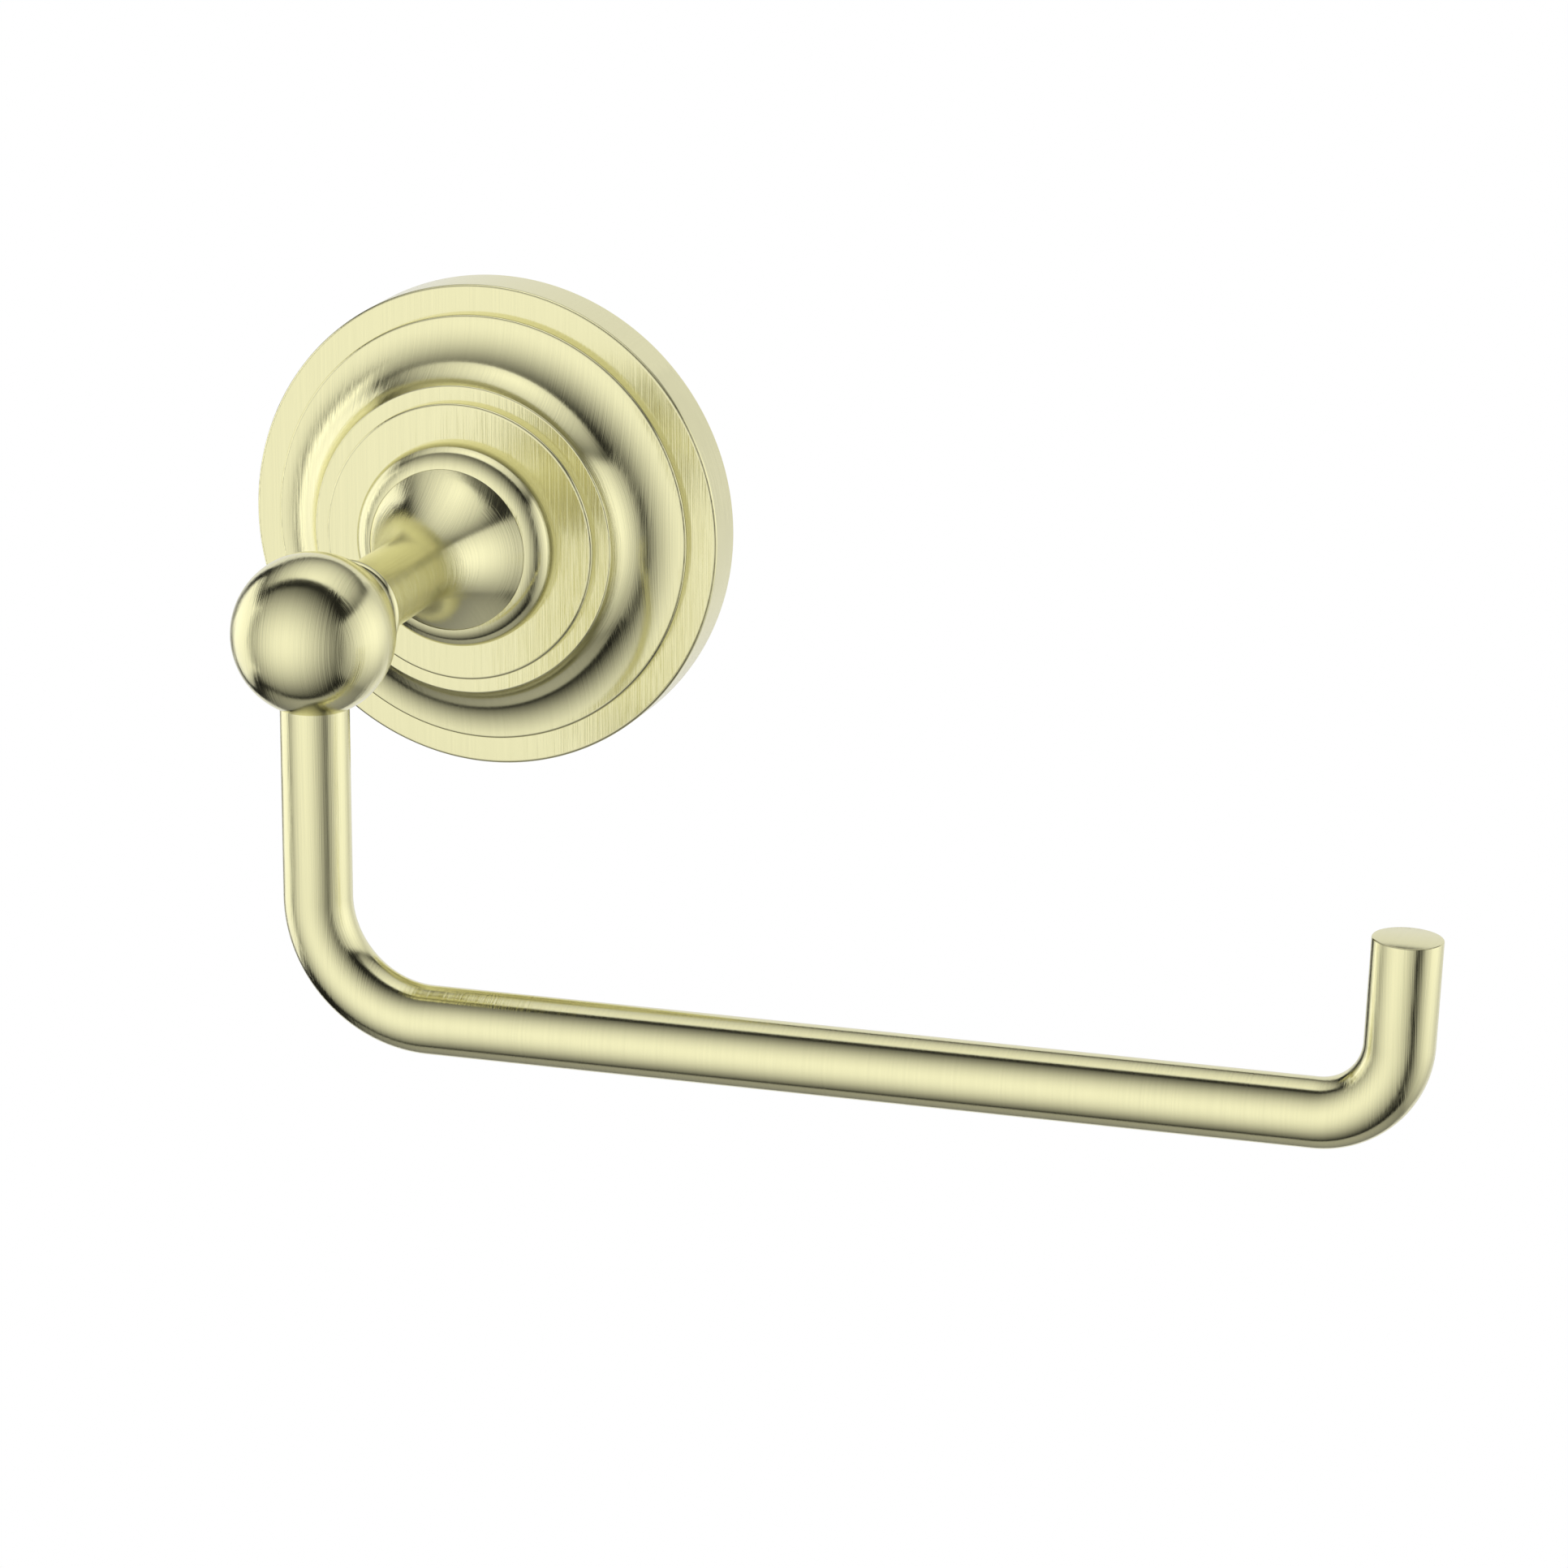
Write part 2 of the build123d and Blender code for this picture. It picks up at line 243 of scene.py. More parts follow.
class Sock:
    """A node socket. Arithmetic on it adds Math nodes, and node() adds any other node to its tree."""

    def __init__(self, tree, socket=None):
        self.tree = tree
        self.socket = socket

    def node(self, kind, settings=None, inputs=None, out=0):
        made = self.tree.nodes.new(kind)
        for name, value in (settings or {}).items():
            setattr(made, name, value)
        for key, value in (inputs or {}).items():
            if isinstance(value, Sock):
                self.tree.links.new(value.socket, made.inputs[key])
            else:
                made.inputs[key].default_value = value
        return Sock(self.tree, made.outputs[out] if len(made.outputs) else None)

    def out(self, name):
        return Sock(self.tree, self.socket.node.outputs[name])

    def math(self, operation, *values):
        return self.node("ShaderNodeMath", {"operation": operation}, dict(enumerate(values)))

    def smooth(self, low, high, start=0.0, end=1.0):
        """Smooth step from start to end as the value goes from low to high."""
        return self.node("ShaderNodeMapRange", {"interpolation_type": "SMOOTHSTEP"},
                         {"Value": self, "From Min": low, "From Max": high, "To Min": start, "To Max": end})

    def __add__(self, other):
        return self.math("ADD", self, other)

    def __sub__(self, other):
        return self.math("SUBTRACT", self, other)

    def __rsub__(self, other):
        return self.math("SUBTRACT", other, self)

    def __mul__(self, other):
        return self.math("MULTIPLY", self, other)

    def __truediv__(self, other):
        return self.math("DIVIDE", self, other)

    __radd__ = __add__
    __rmul__ = __mul__


def new_material(name):
    """Empty node material and a handle on its tree."""
    material = bpy.data.materials.new(name)
    material.use_nodes = True
    material.node_tree.nodes.clear()
    return material, Sock(material.node_tree)


def noise(place, scale, detail):
    """Soft random pattern with values from 0 to 1."""
    return place.node("ShaderNodeTexNoise", None,
                      {"Vector": place, "Scale": scale, "Detail": detail, "Roughness": PATTERN_ROUGHNESS},
                      out="Fac")


def brush_lines(place, fineness, length):
    """Upright brush lines. They vary along X, or along Y on the surfaces that face sideways."""
    lines = []
    for scale in ((1 / fineness, 1 / length, 1 / length), (1 / length, 1 / fineness, 1 / length)):
        stretched = place.node("ShaderNodeMapping", {"vector_type": "POINT"},
                               {"Vector": place, "Scale": scale}, out="Vector")
        lines.append(noise(stretched, 1.0, 1.0))
    facing = place.node("ShaderNodeVectorMath", {"operation": "ABSOLUTE"}, {0: place.out("Normal")},
                        out="Vector")
    facing = facing.node("ShaderNodeSeparateXYZ", None, {"Vector": facing})
    others = facing.math("MAXIMUM", facing.out("Y"), facing.out("Z"))
    sideways = (facing.out("X") - others).smooth(-BRUSH_TURN, BRUSH_TURN)
    return lines[0] * (1 - sideways) + lines[1] * sideways


def finish_metal(sock, blend, colours, roughness, normal=None):
    """Metal surface whose colour goes from the first to the second with blend."""
    first, second = colours
    colour = sock.node("ShaderNodeMix", {"data_type": "RGBA"}, {0: blend, 6: first, 7: second}, out=2)
    inputs = {"Base Color": colour, "Metallic": 1.0, "Roughness": roughness}
    if normal:
        inputs["Normal"] = normal
    shader = sock.node("ShaderNodeBsdfPrincipled", None, inputs, out="BSDF")
    sock.node("ShaderNodeOutputMaterial", None, {"Surface": shader})


def make_satin_brass():
    material, sock = new_material("satin_brass")
    place = sock.node("ShaderNodeTexCoord", out="Object")
    broad = brush_lines(place, *BROAD_BRUSH)
    fine = brush_lines(place, *FINE_BRUSH)
    normal = sock.node("ShaderNodeBump", None,
                       {"Strength": 1.0, "Distance": BRUSH_DEPTH, "Height": broad + fine}, out="Normal")
    finish_metal(sock, broad, BRASS_COLOURS, broad * BRUSH_ROUGHNESS + BRASS_ROUGHNESS, normal)
    return material


def make_bracket_zinc():
    material, sock = new_material("bracket_zinc")
    place = sock.node("ShaderNodeTexCoord", out="Object")
    grain = noise(place, *ZINC_GRAIN)
    clouds = noise(place, *ZINC_CLOUDS)
    normal = sock.node("ShaderNodeBump", None,
                       {"Strength": GRAIN_STRENGTH, "Distance": GRAIN_DEPTH, "Height": grain}, out="Normal")
    finish_metal(sock, clouds, ZINC_COLOURS, grain * GRAIN_ROUGHNESS + ZINC_ROUGHNESS, normal)
    return material


def make_screw_steel():
    material, sock = new_material("screw_steel")
    place = sock.node("ShaderNodeTexCoord", out="Object")
    bloom = noise(place, *STEEL_BLOOM)
    finish_metal(sock, bloom, STEEL_COLOURS, bloom * BLOOM_ROUGHNESS + STEEL_ROUGHNESS)
    return material


def arc(centre, size, first, last, step_angle=ARC_STEP):
    """Points of an arc in (radius, out); angles in radians from the radial direction towards out."""
    steps = max(2, math.ceil(abs(last - first) / step_angle))
    angles = [first + (last - first) * step / steps for step in range(steps + 1)]
    return [(centre[0] + size * math.cos(angle), centre[1] + size * math.sin(angle)) for angle in angles]


def edge_round(corner, inwards, first):
    """Quarter round on a square corner; inwards is the (radius, out) side that the metal lies on."""
    centre = (corner[0] + inwards[0] * EDGE_ROUND, corner[1] + inwards[1] * EDGE_ROUND)
    return arc(centre, EDGE_ROUND, first, first + math.pi / 2)


def spun(name, outline, sides=TURN_SIDES):
    """Mesh object spun about Y from a closed (radius, out) outline."""
    shape = bmesh.new()
    rings = []
    for radius, out in outline:
        if radius < ON_AXIS:
            rings.append([shape.verts.new((0, -out, 0))] * sides)
            continue
        turns = [2 * math.pi * side / sides for side in range(sides)]
        rings.append([shape.verts.new((radius * math.cos(t), -out, radius * math.sin(t))) for t in turns])
    for ring, following in zip(rings, rings[1:] + rings[:1]):
        for side in range(sides):
            beside = (side + 1) % sides
            corners = [ring[side], ring[beside], following[beside], following[side]]
            different = list(dict.fromkeys(corners))
            if len(different) > 2:
                shape.faces.new(different)
    return finished_mesh(name, shape)


def add_object(name, data):
    """Object with the given mesh, camera or lamp, linked to the scene."""
    added = bpy.data.objects.new(name, data)
    bpy.context.scene.collection.objects.link(added)
    return added


def finished_mesh(name, shape):
    """Object made from a closed bmesh, smooth except at sharp edges."""
    bmesh.ops.remove_doubles(shape, verts=shape.verts, dist=SAME_POINT)
    bmesh.ops.recalc_face_normals(shape, faces=shape.faces)
    mesh = bpy.data.meshes.new(name)
    shape.to_mesh(mesh)
    shape.free()
    piece = add_object(name, mesh)
    smooth_shading(piece)
    return piece


def smooth_shading(piece):
    piece.data.shade_smooth()
    piece.data.set_sharp_from_angle(angle=SHARP_EDGE)


def settled(piece):
    """Turns a piece's modifiers into its plain mesh."""
    seen = piece.evaluated_get(bpy.context.evaluated_depsgraph_get())
    mesh = bpy.data.meshes.new_from_object(seen)
    piece.modifiers.clear()
    piece.data = mesh
    smooth_shading(piece)


def mend_faces(piece):
    """Splits the many-sided faces that a cut leaves, and drops faces without area."""
    shape = bmesh.new()
    shape.from_mesh(piece.data)
    bmesh.ops.remove_doubles(shape, verts=shape.verts, dist=CLOSE)
    many_sided = [face for face in shape.faces if len(face.verts) > 4]
    bmesh.ops.triangulate(shape, faces=many_sided, ngon_method="BEAUTY")
    bmesh.ops.dissolve_degenerate(shape, edges=shape.edges, dist=CLOSE)
    shape.to_mesh(piece.data)
    shape.free()
    smooth_shading(piece)


def combine(piece, other, operation):
    """Adds another closed mesh to a piece or takes it out, and removes the other."""
    modifier = piece.modifiers.new("combine", "BOOLEAN")
    modifier.operation = operation
    modifier.solver = "EXACT"
    modifier.object = other
    settled(piece)
    mend_faces(piece)
    bpy.data.objects.remove(other)


def cut(piece, *cutters):
    """Takes the cutters' shapes out of a piece."""
    for cutter in cutters:
        combine(piece, cutter, "DIFFERENCE")


def upright_rod(name, radius, centre_y, low, high, sides=TURN_SIDES):
    """Cylinder along Z, used as a cutter."""
    shape = bmesh.new()
    bmesh.ops.create_cone(shape, cap_ends=True, segments=sides, radius1=radius, radius2=radius,
                          depth=high - low)
    bmesh.ops.translate(shape, verts=shape.verts, vec=(0, centre_y, (low + high) / 2))
    return finished_mesh(name, shape)


def outward_rod(name, radius, near, far, sides=TURN_SIDES):
    """Cylinder along Y between two distances from the wall, used as a cutter."""
    return spun(name, [(0, near), (radius, near), (radius, far), (0, far)], sides)


def box_cutter(name, low, high):
    """Upright box between two corners, used as a cutter."""
    shape = bmesh.new()
    bmesh.ops.create_cube(shape, size=1.0)
    bmesh.ops.scale(shape, verts=shape.verts, vec=high - low)
    bmesh.ops.translate(shape, verts=shape.verts, vec=(low + high) / 2)
    return finished_mesh(name, shape)


def outs(node):
    """Distances from the wall at which a CAD node begins and ends."""
    low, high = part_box(node)
    return -high.y, -low.y


def spigot_top(flat, near, far):
    """Box over the flat of the post's spigot, used as a cutter."""
    reach = SPIGOT_R + BEYOND
    return box_cutter("spigot_top", Vector((-reach, -far, flat)), Vector((reach, -near, reach)))


def soft_ring(inner, outer, near, far, soft):
    """Outline of a flat ring with softened edges, in (radius, out)."""
    quarter = math.pi / 2
    outline = arc((outer - soft, near + soft), soft, -quarter, 0, SOFT_STEP)
    outline += arc((outer - soft, far - soft), soft, 0, quarter, SOFT_STEP)
    outline += arc((inner + soft, far - soft), soft, quarter, 2 * quarter, SOFT_STEP)
    outline += arc((inner + soft, near + soft), soft, 2 * quarter, 3 * quarter, SOFT_STEP)
    return outline


def make_flange():
    cove = (COVE_WIDTH**2 + COVE_RISE**2) / (2 * COVE_RISE)
    cove_out = STEP_OUT + cove
    low_turn = math.asin(EDGE_ROUND / (cove + EDGE_ROUND))
    high_turn = math.asin((cove_out + BOSS_ROUND - BOSS_OUT) / (cove + BOSS_ROUND))
    low = (STEP_R - EDGE_ROUND, cove_out - (cove + EDGE_ROUND) * math.cos(low_turn))
    high = (STEP_R - (cove + BOSS_ROUND) * math.cos(high_turn), BOSS_OUT - BOSS_ROUND)
    outline = [(CAVITY_R, 0), (FLANGE_R, 0)]
    outline += edge_round((FLANGE_R, RIM_OUT), (-1, -1), 0)
    outline += [(STEP_R, RIM_OUT)]
    outline += arc(low, EDGE_ROUND, 0, math.pi / 2 - low_turn)
    outline += arc((STEP_R, cove_out), cove, 1.5 * math.pi - low_turn, math.pi + high_turn)[1:]
    outline += arc(high, BOSS_ROUND, high_turn, math.pi / 2)[1:]
    outline += [(FACE_R, BOSS_OUT)]
    outline += edge_round((FACE_R, FACE_OUT), (-1, -1), 0)
    outline += [(0, FACE_OUT), (0, INNER_OUT), (FACE_R - SHELL_WALL, INNER_OUT),
                (FACE_R, STEP_OUT + SHELL_WALL), (BOSS_R + SHELL_WALL, CAVITY_OUT), (CAVITY_R, CAVITY_OUT)]
    flange = spun("brass_flange", outline)
    near, far = INNER_OUT - BEYOND, FACE_OUT + BEYOND
    spigot_hole = outward_rod("spigot_hole", SPIGOT_R + FIT, near, far, HOLE_SIDES)
    cut(spigot_hole, spigot_top(SPIGOT_FLAT + FIT, near - BEYOND, far + BEYOND))
    grub_hole = upright_rod("grub_hole", GRUB_R + FIT, -GRUB_OUT, -FLANGE_R - BEYOND, BEYOND - CAVITY_R,
                            THREAD_SIDES)
    cut(flange, spigot_hole, grub_hole)
    return flange


def make_base_ring():
    top = math.acos((RING_BORE_R - BASE_BEAD_R) / BASE_BEAD)
    bore = SHOULDER_R + FIT
    outline = [(BASE_RING_R, FACE_OUT)]
    outline += arc((BASE_BEAD_R, BEAD_OUT), BASE_BEAD, 0, top)
    outline += [(RING_BORE_R, SEAT_OUT), (bore, SEAT_OUT), (bore, FACE_OUT)]
    return spun("brass_base_ring", outline)


def make_post():
    foot = math.asin((FLARE_OUT - FOOT_OUT) / FLARE_R)
    screw_end = SPIGOT_OUT + SCREW_HOLE_DEPTH
    stud_end = POST_OUT - STUD_HOLE_DEPTH
    outline = [(0, screw_end), (SCREW_R + FIT, screw_end), (SCREW_R + FIT, SPIGOT_OUT),
               (SPIGOT_R, SPIGOT_OUT), (SPIGOT_R, FACE_OUT + FIT), (SHOULDER_R, FACE_OUT + FIT),
               (SHOULDER_R, SEAT_OUT), (FOOT_R, SEAT_OUT)]
    outline += arc((POST_R + FLARE_R, FLARE_OUT), FLARE_R, math.pi + foot, math.pi)
    outline += [(POST_R, POST_OUT), (STUD_R + FIT, POST_OUT), (STUD_R + FIT, stud_end), (0, stud_end)]
    post = spun("brass_post", outline)
    cut(post, spigot_top(SPIGOT_FLAT, SPIGOT_OUT - BEYOND, FACE_OUT + FIT / 2))
    return post


def make_neck_ring():
    bore = STUD_R + FIT
    outline = arc((NECK_BEAD_R, NECK_OUT), NECK_BEAD, -math.pi / 2, math.pi / 2)
    outline += [(NECK_R, NECK_OUT + NECK_BEAD), (NECK_R, BALL_SEAT_OUT), (bore, BALL_SEAT_OUT),
                (bore, POST_OUT)]
    return spun("brass_neck_ring", outline)


def make_ball():
    """Ball with its pole on top, so that no pole faces the front."""
    shape = bmesh.new()
    bmesh.ops.create_uvsphere(shape, u_segments=TURN_SIDES, v_segments=TURN_SIDES // 2, radius=BALL_R)
    bmesh.ops.translate(shape, verts=shape.verts, vec=(0, -BALL_OUT, 0))
    ball = finished_mesh("brass_ball", shape)
    seat = outward_rod("seat", BALL_R, BALL_OUT - 2 * BALL_R, BALL_SEAT_OUT)
    stud_hole = outward_rod("stud_hole", STUD_R + FIT, BALL_SEAT_OUT - ROD_R, BALL_OUT)
    rod_hole = upright_rod("rod_hole", ROD_R + FIT, -BALL_OUT, -2 * BALL_R, ROD_TOP + FIT, TURN_SIDES - 1)
    cut(ball, seat, stud_hole, rod_hole)
    return ball


def add_geometry_nodes(piece, tree, values):
    """Geometry Nodes modifier with its inputs set by name."""
    modifier = piece.modifiers.new(tree.name, "NODES")
    modifier.node_group = tree
    for socket in tree.interface.items_tree:
        if socket.name in values:
            modifier[socket.identifier] = values[socket.name]


def rod_tree(brass):
    """Geometry Nodes: rounds the corners of a path and sweeps a round rod along it."""
    tree = bpy.data.node_groups.new("bent_rod", "GeometryNodeTree")
    tree.interface.new_socket("Path", in_out="INPUT", socket_type="NodeSocketGeometry")
    for size in ("Rod radius", "First bend", "Second bend"):
        tree.interface.new_socket(size, in_out="INPUT", socket_type="NodeSocketFloat")
    tree.interface.new_socket("Sides", in_out="INPUT", socket_type="NodeSocketInt")
    tree.interface.new_socket("Rod", in_out="OUTPUT", socket_type="NodeSocketGeometry")
    sizes = Sock(tree).node("NodeGroupInput")
    path = sizes.node("GeometryNodeMeshToCurve", None, {"Mesh": sizes.out("Path")}, out="Curve")
    corner = sizes.node("GeometryNodeInputIndex", out="Index")
    second = sizes.node("FunctionNodeCompare", {"data_type": "INT", "operation": "EQUAL"},
                        {"A": corner, "B": 2})
    bend = sizes.node("GeometryNodeSwitch", {"input_type": "FLOAT"},
                      {"Switch": second, "False": sizes.out("First bend"), "True": sizes.out("Second bend")})
    rounded = sizes.node("GeometryNodeFilletCurve", {"mode": "POLY"},
                         {"Curve": path, "Radius": bend, "Count": BEND_STEPS, "Limit Radius": False},
                         out="Curve")
    section = sizes.node("GeometryNodeCurvePrimitiveCircle", {"mode": "RADIUS"},
                         {"Resolution": sizes.out("Sides"), "Radius": sizes.out("Rod radius")}, out="Curve")
    rod = sizes.node("GeometryNodeCurveToMesh", None,
                     {"Curve": rounded, "Profile Curve": section, "Fill Caps": True}, out="Mesh")
    real = sizes.node("GeometryNodeRealizeInstances", None, {"Geometry": rod}, out="Geometry")
    coated = sizes.node("GeometryNodeSetMaterial", None, {"Geometry": real, "Material": brass},
                        out="Geometry")
    sizes.node("NodeGroupOutput", None, {"Rod": coated})
    return tree


def make_arm(brass):
    tip_x = ARM_REACH + TIP_RISE * math.tan(TIP_LEAN)
    corners = [(0, ROD_TOP), (0, ARM_DROP), (ARM_REACH, ARM_DROP), (tip_x, ARM_DROP + TIP_RISE)]
    mesh = bpy.data.meshes.new("brass_arm")
    mesh.from_pydata([(x, -BALL_OUT, z) for x, z in corners], [(0, 1), (1, 2), (2, 3)], [])
    arm = add_object("brass_arm", mesh)
    add_geometry_nodes(arm, rod_tree(brass), {
        "Rod radius": ROD_R, "First bend": WIDE_BEND, "Second bend": TIGHT_BEND, "Sides": ROD_SIDES})
    soften = arm.modifiers.new("soften", "BEVEL")
    soften.width = END_ROUND
    soften.segments = END_STEPS
    soften.limit_method = "ANGLE"
    soften.angle_limit = SHARP_END
    settled(arm)
    near, far = BALL_OUT - 2 * ROD_R, BALL_OUT + STUD_HOLE_IN_ROD
    cut(arm, outward_rod("stud_hole", STUD_R + FIT, near, far, HOLE_SIDES))
    return arm


def ribbed_tree(metal):
    """Geometry Nodes: a chamfered rod along Z with ribs that wind round it, as a thread or a knurl."""
    tree = bpy.data.node_groups.new("ribbed_rod", "GeometryNodeTree")
    for size in ("Radius", "Length", "Rib depth", "Pitch", "Chamfer"):
        tree.interface.new_socket(size, in_out="INPUT", socket_type="NodeSocketFloat")
    for count in ("Ribs", "Sides", "Rings"):
        tree.interface.new_socket(count, in_out="INPUT", socket_type="NodeSocketInt")
    tree.interface.new_socket("Rod", in_out="OUTPUT", socket_type="NodeSocketGeometry")
    sizes = Sock(tree).node("NodeGroupInput")
    plain = sizes.node("GeometryNodeMeshCylinder", None,
                       {"Vertices": sizes.out("Sides"), "Side Segments": sizes.out("Rings"),
                        "Radius": sizes.out("Radius"), "Depth": sizes.out("Length")}, out="Mesh")
    position = sizes.node("GeometryNodeInputPosition", out="Position")
    at = sizes.node("ShaderNodeSeparateXYZ", None, {"Vector": position})
    turn = at.math("ARCTAN2", at.out("Y"), at.out("X")) / (2 * math.pi)
    phase = at.math("FRACT", at.out("Z") / sizes.out("Pitch") - turn * sizes.out("Ribs"))
    wave = at.math("ABSOLUTE", phase - 0.5) * 2
    groove = sizes.out("Rib depth") * wave.math("MAXIMUM", wave * (1 + RIB_CREST) - RIB_CREST, 0.0)
    to_end = sizes.out("Length") / 2 - at.math("ABSOLUTE", at.out("Z"))
    chamfered = sizes.out("Radius") - sizes.out("Chamfer") + to_end
    radius = at.math("MINIMUM", sizes.out("Radius") - groove, chamfered)
    ratio = radius / sizes.out("Radius")
    moved = at.node("ShaderNodeCombineXYZ", None,
                    {"X": at.out("X") * ratio, "Y": at.out("Y") * ratio, "Z": at.out("Z")})
    ribbed = sizes.node("GeometryNodeSetPosition", None, {"Geometry": plain, "Position": moved},
                        out="Geometry")
    real = sizes.node("GeometryNodeRealizeInstances", None, {"Geometry": ribbed}, out="Geometry")
    coated = sizes.node("GeometryNodeSetMaterial", None, {"Geometry": real, "Material": metal},
                        out="Geometry")
    sizes.node("NodeGroupOutput", None, {"Rod": coated})
    return tree


def ribbed_rod(name, tree, low, high, sizes):
    """Ribbed rod from low to high along Z."""
    rod = add_object(name, bpy.data.meshes.new(name))
    add_geometry_nodes(rod, tree, dict(sizes, Length=high - low))
    settled(rod)
    rod.data.transform(Matrix.Translation((0, 0, (low + high) / 2)))
    return rod


def threaded_rod(name, tree, radius, pitch, low, high):
    rings = math.ceil((high - low) / pitch * THREAD_RINGS)
    return ribbed_rod(name, tree, low, high, {
        "Radius": radius, "Rib depth": THREAD_DEPTH * pitch, "Pitch": pitch, "Chamfer": THREAD_CHAMFER,
        "Ribs": 1, "Sides": THREAD_SIDES, "Rings": rings})


def knurled_head(name, tree, radius, low, high):
    return ribbed_rod(name, tree, low, high, {
        "Radius": radius, "Rib depth": KNURL_DEPTH, "Pitch": KNURL_PITCH, "Chamfer": HEAD_CHAMFER,
        "Ribs": KNURL_RIBS, "Sides": RIB_SIDES * KNURL_RIBS, "Rings": KNURL_RINGS})


def laid_out(rod):
    """Turns a rod along Z so that it stands out from the wall."""
    rod.data.transform(Matrix.Rotation(math.pi / 2, 4, "X"))
    return rod


def make_post_screw(tree):
    near, far = outs("post_screw")
    screw = laid_out(threaded_rod("steel_post_screw", tree, SCREW_R, SCREW_PITCH, HEAD_OUT - BEYOND, far))
    head = laid_out(knurled_head("head", tree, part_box("post_screw")[1].z, near, HEAD_OUT))
    combine(screw, head, "UNION")
    cut(screw, outward_rod("key", HEAD_KEY / math.sqrt(3), near - BEYOND, near + HEAD_KEY_DEPTH, KEY_SIDES))
    return screw


def make_ball_stud(tree):
    return laid_out(threaded_rod("steel_ball_stud", tree, STUD_R, STUD_PITCH, *outs("ball_stud")))


def make_grub_screw(tree):
    low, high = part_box("flange_grub_screw")
    screw = threaded_rod("steel_grub_screw", tree, GRUB_R, GRUB_PITCH, low.z, high.z)
    screw.data.transform(Matrix.Translation((0, -GRUB_OUT, 0)))
    cut(screw, upright_rod("key", GRUB_KEY / math.sqrt(3), -GRUB_OUT, low.z - BEYOND, low.z + GRUB_KEY_DEPTH,
                           KEY_SIDES))
    return screw


def make_washer():
    outline = soft_ring(WASHER_HOLE_R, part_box("post_washer")[1].z, *outs("post_washer"), WASHER_SOFT)
    return spun("steel_washer", outline, WASHER_SIDES)


def make_lock_washer():
    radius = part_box("post_lock_washer")[1].z
    near, far = outs("post_lock_washer")
    washer = spun("steel_lock_washer", soft_ring(WASHER_HOLE_R, radius, near, far, WASHER_SOFT), WASHER_SIDES)
    cut(washer, box_cutter("slit", Vector((0, -far - BEYOND, -LOCK_SLIT / 2)),
                           Vector((radius + BEYOND, BEYOND - near, LOCK_SLIT / 2))))
    return washer


def make_bracket():
    low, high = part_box("wall_bracket")
    near, far = outs("wall_bracket")
    bracket = spun("zinc_bracket", soft_ring(BRACKET_HOLE_R, high.z, near, far, BRACKET_SOFT))
    sink_out = far - (COUNTERSINK_R - WALL_SCREW_R)
    for side in (-1, 1):
        hole = spun("wall_screw_hole", [
            (0, near - BEYOND), (WALL_SCREW_R, near - BEYOND), (WALL_SCREW_R, sink_out), (COUNTERSINK_R, far),
            (COUNTERSINK_R, far + BEYOND), (0, far + BEYOND)], HOLE_SIDES)
        hole.data.transform(Matrix.Translation((side * WALL_SCREW_X, 0, 0)))
        cut(bracket, hole)
    cut(bracket, box_cutter("grub_flat", Vector((-high.z, -far - BEYOND, -2 * high.z)),
                            Vector((high.z, BEYOND - near, low.z))))
    return bracket


def join_frame(piece, node, material):
    """Gives a finished piece its material and its place in the frame."""
    piece.data.materials.clear()
    piece.data.materials.append(material)
    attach(piece, "root")
    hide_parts(node)


def make_camera():
    data = bpy.data.cameras.new("camera")
    data.lens = CAMERA_LENS
    data.sensor_width = CAMERA_SENSOR
    data.clip_start = CAMERA_NEAR
    camera = add_object("camera", data)
    camera.location = CAMERA_AT
    camera.rotation_mode = "QUATERNION"
    camera.rotation_quaternion = CAMERA_AIM.to_track_quat("-Z", "Y")
    bpy.context.scene.camera = camera


def turned_to(azimuth):
    """Level unit vector; azimuth in degrees from the front towards +X."""
    turn = math.radians(azimuth)
    return (math.sin(turn), -math.cos(turn), 0.0)


def along(direction, axis):
    """How far a direction goes along an axis."""
    return direction.node("ShaderNodeVectorMath", {"operation": "DOT_PRODUCT"}, {0: direction, 1: axis},
                          out="Value")


def glow(direction, aim, brightness, tightness):
    """Soft light, brightest in the direction aim and dark past a right angle from it."""
    facing = direction.math("MAXIMUM", along(direction, aim), 0.0)
    return brightness * direction.math("POWER", facing, tightness)


def window(value, low, high, soft):
    """1 between two values and 0 outside, with edges that fade over twice the soft width."""
    return value.smooth(low - soft, low + soft) * value.smooth(high - soft, high + soft, 1.0, 0.0)


def flat_panel(direction, aim, side, rise, sides, heights, soft):
    """Mask of a flat panel that is seen in the direction aim. Its edges are in units of its distance."""
    depth = direction.math("MAXIMUM", along(direction, aim), LEAST_DEPTH)
    across = along(direction, side) / depth
    up = along(direction, rise) / depth
    return window(across, *sides, soft) * window(up, *heights, soft) * depth.smooth(0.0, soft)


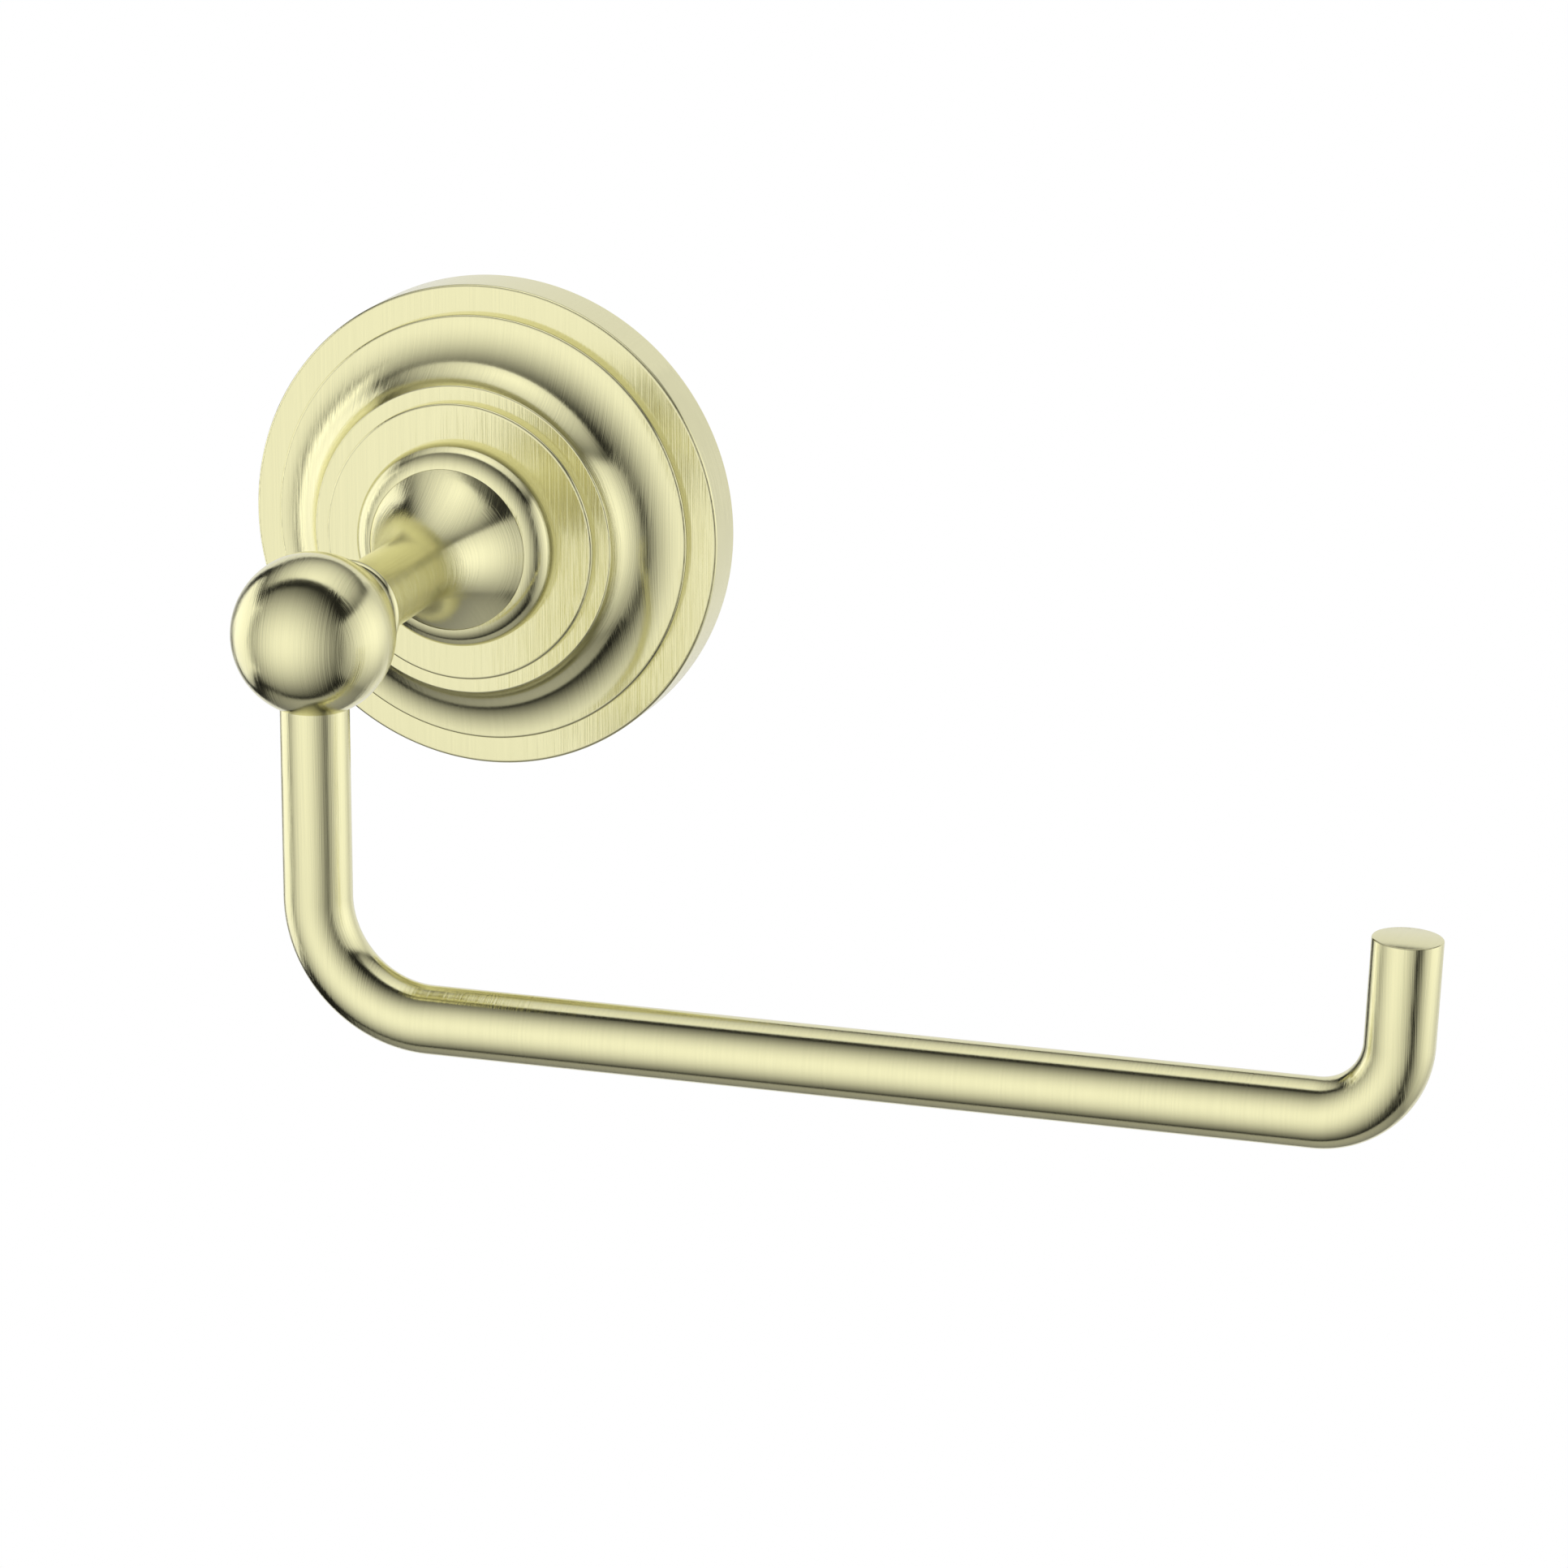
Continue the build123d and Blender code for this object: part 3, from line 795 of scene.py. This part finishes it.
def make_studio():
    """Soft light panels around the holder, in front of a white backdrop."""
    world = bpy.data.worlds.new("studio")
    bpy.context.scene.world = world
    world.use_nodes = True
    world.node_tree.nodes.clear()
    sock = Sock(world.node_tree)
    direction = sock.node("ShaderNodeTexCoord", out="Generated")
    x_axis, y_axis, up, down = (1, 0, 0), (0, 1, 0), (0, 0, 1), (0, 0, -1)

    light = sock.node("ShaderNodeValue")
    light.socket.default_value = GLOOM
    panels = [
        (flat_panel(direction, down, x_axis, y_axis, LOW_PANEL_SIDES, LOW_PANEL_DEPTHS, LOW_PANEL_SOFT),
         glow(direction, down, *LOW_PANEL_GLOW)),
        (flat_panel(direction, turned_to(RIGHT_PANEL_AZIMUTH), turned_to(RIGHT_PANEL_AZIMUTH + 90), up,
                    RIGHT_PANEL_SIDES, RIGHT_PANEL_HEIGHTS, RIGHT_PANEL_SOFT),
         glow(direction, turned_to(RIGHT_GLOW_AZIMUTH), *RIGHT_PANEL_GLOW)),
    ]
    for mask, panel in panels:
        light = light * (1 - mask) + panel * mask
    backdrop = BACKDROP_GREY * flat_panel(direction, y_axis, x_axis, up, BACKDROP_SIDES, BACKDROP_HEIGHTS,
                                          BACKDROP_SOFT)

    camera_ray = sock.node("ShaderNodeLightPath", out="Is Camera Ray")
    mirror_ray = sock.math("MAXIMUM", camera_ray.out("Is Glossy Ray"), camera_ray.out("Is Transmission Ray"))
    white = sock.math("MAXIMUM", camera_ray, mirror_ray * backdrop)
    strength = light * (1 - white) + white
    shader = sock.node("ShaderNodeBackground", None, {"Color": (1, 1, 1, 1), "Strength": strength})
    sock.node("ShaderNodeOutputWorld", None, {"Surface": shader})


def make_soft_box(name, place, turn, size, spread, watts):
    """Soft box close to the holder, as a rectangle that shines down until it is turned."""
    data = bpy.data.lights.new(name, "AREA")
    data.shape = "RECTANGLE"
    data.size, data.size_y = size
    data.spread = spread
    data.energy = watts
    lamp = add_object(name, data)
    lamp.location = place
    lamp.rotation_euler = turn


def upright_card(name, left, right, heights):
    """Upright card between two level (x, y) points, with an empty material. The camera doesn't see it."""
    low, high = heights
    shape = bmesh.new()
    corners = [(*left, low), (*right, low), (*right, high), (*left, high)]
    shape.faces.new([shape.verts.new(corner) for corner in corners])
    card = finished_mesh(name, shape)
    material, sock = new_material(name)
    card.data.materials.append(material)
    card.visible_camera = False
    card.visible_shadow = False
    return card, sock


def make_front_light():
    """Wide soft light in front, brightest a little to the left and fading to its sides."""
    left, right = FRONT_LIGHT_SIDES
    card, sock = upright_card("front_light", (left, -FRONT_LIGHT_DEPTH), (right, -FRONT_LIGHT_DEPTH),
                              FRONT_LIGHT_HEIGHTS)
    card.location = (0, -BALL_OUT, 0)
    place = sock.node("ShaderNodeTexCoord", out="Object")
    from_ball = sock.node("ShaderNodeVectorMath", {"operation": "NORMALIZE"}, {0: place}, out="Vector")
    soft = sock.node("ShaderNodeEmission", None,
                     {"Color": glow(from_ball, turned_to(FRONT_LIGHT_AZIMUTH), *FRONT_LIGHT_GLOW)})
    sock.node("ShaderNodeOutputMaterial", None, {"Surface": soft})


def make_shade():
    """Grey card between the front light and the left lamp."""
    card, sock = upright_card("shade", *SHADE_ENDS, SHADE_HEIGHTS)
    card.visible_diffuse = False
    grey = sock.node("ShaderNodeEmission", None, {"Strength": SHADE_GREY})
    sock.node("ShaderNodeOutputMaterial", None, {"Surface": grey})


def make_flag():
    """Dark card to the right, edge-on to the ball, which draws the dark line down the tip."""
    card, sock = upright_card("flag", *FLAG_ENDS, FLAG_HEIGHTS)
    card.visible_diffuse = False
    place = sock.node("ShaderNodeTexCoord", out="Object")
    at = sock.node("ShaderNodeSeparateXYZ", None, {"Vector": place}, out="X")
    grey = at.smooth(FLAG_ENDS[0].x, FLAG_ENDS[1].x, *FLAG_GREYS)
    dark = sock.node("ShaderNodeEmission", None, {"Color": grey})
    sock.node("ShaderNodeOutputMaterial", None, {"Surface": dark})


def make_floor():
    """Pale floor that takes the holder's shadow and doesn't hide the holder from below."""
    shape = bmesh.new()
    bmesh.ops.create_grid(shape, x_segments=1, y_segments=1, size=FLOOR_HALF)
    bmesh.ops.translate(shape, verts=shape.verts, vec=FLOOR_AT)
    floor = finished_mesh("floor", shape)
    material, sock = new_material("pale_floor")
    matt = sock.node("ShaderNodeBsdfDiffuse", None, {"Color": FLOOR_COLOUR})
    camera_ray = sock.node("ShaderNodeLightPath", out="Is Camera Ray")
    pale = sock.node("ShaderNodeEmission", None, {"Color": camera_ray * FLOOR_GLOW})
    lit = sock.node("ShaderNodeAddShader", None, {0: matt, 1: pale})
    below = sock.node("ShaderNodeNewGeometry", out="Backfacing")
    clear = sock.node("ShaderNodeBsdfTransparent")
    seen = sock.node("ShaderNodeMixShader", None, {0: below, 1: lit, 2: clear})
    sock.node("ShaderNodeOutputMaterial", None, {"Surface": seen})
    floor.data.materials.append(material)
    floor.visible_glossy = False


brass = make_satin_brass()
zinc = make_bracket_zinc()
steel = make_screw_steel()
ribs = ribbed_tree(steel)
join_frame(make_flange(), "flange", brass)
join_frame(make_base_ring(), "base_ring", brass)
join_frame(make_post(), "post", brass)
join_frame(make_neck_ring(), "neck_ring", brass)
join_frame(make_ball(), "ball", brass)
join_frame(make_arm(brass), "arm", brass)
join_frame(make_bracket(), "wall_bracket", zinc)
join_frame(make_post_screw(ribs), "post_screw", steel)
join_frame(make_ball_stud(ribs), "ball_stud", steel)
join_frame(make_grub_screw(ribs), "flange_grub_screw", steel)
join_frame(make_washer(), "post_washer", steel)
join_frame(make_lock_washer(), "post_lock_washer", steel)
make_camera()
make_studio()
make_soft_box("top_lamp", TOP_LAMP_AT, (0, 0, TOP_LAMP_TURN), TOP_LAMP_SIZE, TOP_LAMP_SPREAD, TOP_LAMP_WATTS)
make_soft_box("left_lamp", LEFT_LAMP_AT, (0, -math.pi / 2, LEFT_LAMP_TURN), LEFT_LAMP_SIZE, LEFT_LAMP_SPREAD,
              LEFT_LAMP_WATTS)
make_front_light()
make_shade()
make_flag()
make_floor()
bpy.context.scene.view_settings.view_transform = "Standard"
